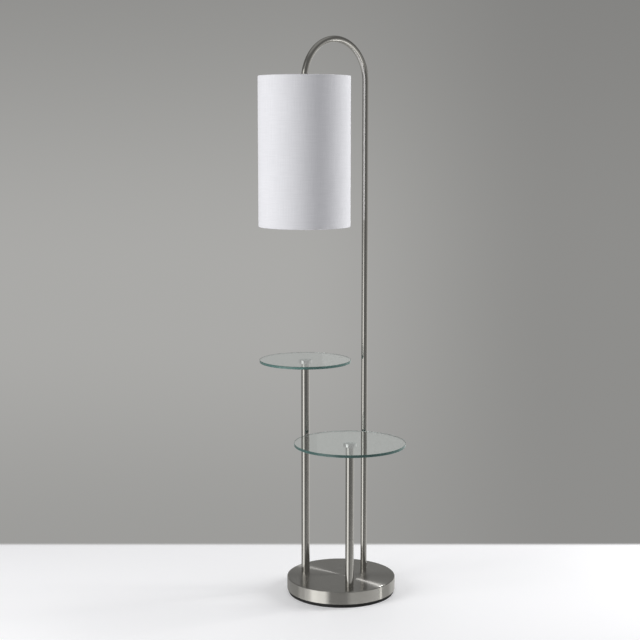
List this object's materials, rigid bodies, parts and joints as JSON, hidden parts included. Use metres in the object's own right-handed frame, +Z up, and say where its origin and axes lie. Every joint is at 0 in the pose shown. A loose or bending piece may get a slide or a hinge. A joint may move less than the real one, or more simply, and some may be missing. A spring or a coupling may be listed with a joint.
{
  "type": "floor lamp with table",
  "caption": "Free-standing floor lamp: round weighted base, arched pole with a tall white drum shade, and round glass table tops on their own posts.",
  "frame": {"origin": "centre of the base on the floor", "axes": "+Z up; +X from the base axis towards the lamp pole, so that the arch carries the shade over to -X; the upper table post is on the +Y side"},
  "size_m": [0.4477, 0.5027, 1.6764],
  "materials": {
    "base_steel": "circular brushed, clear lacquered",
    "tube_steel": "satin nickel plated steel tube",
    "hub_aluminium": "turned and brushed",
    "table_glass": "clear float glass with a polished green edge",
    "black_plastic": "moulded black plastic",
    "pad_rubber": "closed-cell non-slip pad",
    "cement": "cast cement ballast",
    "zinc_steel": "bright zinc plated fastener",
    "holder_nickel": "satin nickel plated sheet",
    "thread_brass": "bare brass",
    "holder_moulding": "black thermoset moulding",
    "paper_sleeve": "pressed insulating paper",
    "switch_black": "black moulded knob",
    "frosted_glass": "inside-frosted bulb glass",
    "clear_glass": "clear bulb stem",
    "bulb_aluminium": "rolled screw cap",
    "cap_glass": "black cap insulator",
    "tungsten": "coiled filament wire",
    "shade_fabric": "white plain-weave lampshade fabric",
    "shade_liner": "white styrene lampshade liner",
    "ring_wire": "white powder-coated steel wire",
    "lead_insulation": "clear-gold vinyl insulation",
    "connector_plastic": "nylon crimp cap"
  },
  "bodies": {
    "stand": {"base_cover": "base_steel", "base_tray": "black_plastic", "base_weight": "cement", "base_pad": "pad_rubber", "cord_bush": "black_plastic", "upper_table_post": "tube_steel", "lower_table_post": "tube_steel", "post_foot_plugs": "zinc_steel", "post_head_plugs": "zinc_steel", "post_studs": "zinc_steel", "post_washers": "zinc_steel", "post_lock_washers": "zinc_steel", "post_nuts": "zinc_steel", "upper_glass_top": "table_glass", "lower_glass_top": "table_glass", "upper_glass_hub": "hub_aluminium", "lower_glass_hub": "hub_aluminium", "hub_studs": "zinc_steel", "lamp_pole_lower": "tube_steel", "lamp_pole_upper": "tube_steel", "lamp_arch": "tube_steel", "pole_inserts": "zinc_steel", "joint_nipples": "zinc_steel", "base_nipple": "zinc_steel", "base_nipple_washer": "zinc_steel", "base_nipple_lock_washer": "zinc_steel", "base_nipple_nut": "zinc_steel", "head_nipple": "zinc_steel", "head_locknut": "zinc_steel", "holder_cap": "holder_nickel", "holder_shell": "holder_nickel", "holder_sleeve": "paper_sleeve", "holder_body": "holder_moulding", "holder_screw_shell": "thread_brass", "holder_centre_contact": "thread_brass", "terminal_screws": "thread_brass", "bulb_globe": "frosted_glass", "bulb_cap": "bulb_aluminium", "bulb_insulator": "cap_glass", "bulb_contact": "thread_brass", "bulb_stem": "clear_glass", "bulb_filament": "tungsten", "shade_fabric": "shade_fabric", "shade_liner": "shade_liner", "shade_spider": "ring_wire", "shade_bottom_ring": "ring_wire", "inner_lead": "lead_insulation", "wire_connectors": "connector_plastic"},
    "switch": {"switch_shaft": "thread_brass", "switch_knob": "switch_black"}
  },
  "joints": [
    {"name": "switch_turn", "type": "hinge", "parent": "stand", "child": "switch", "pos_m": [-0.147, 0, 1.4871], "axis": [0, 1, 0], "continuous": true}
  ]
}
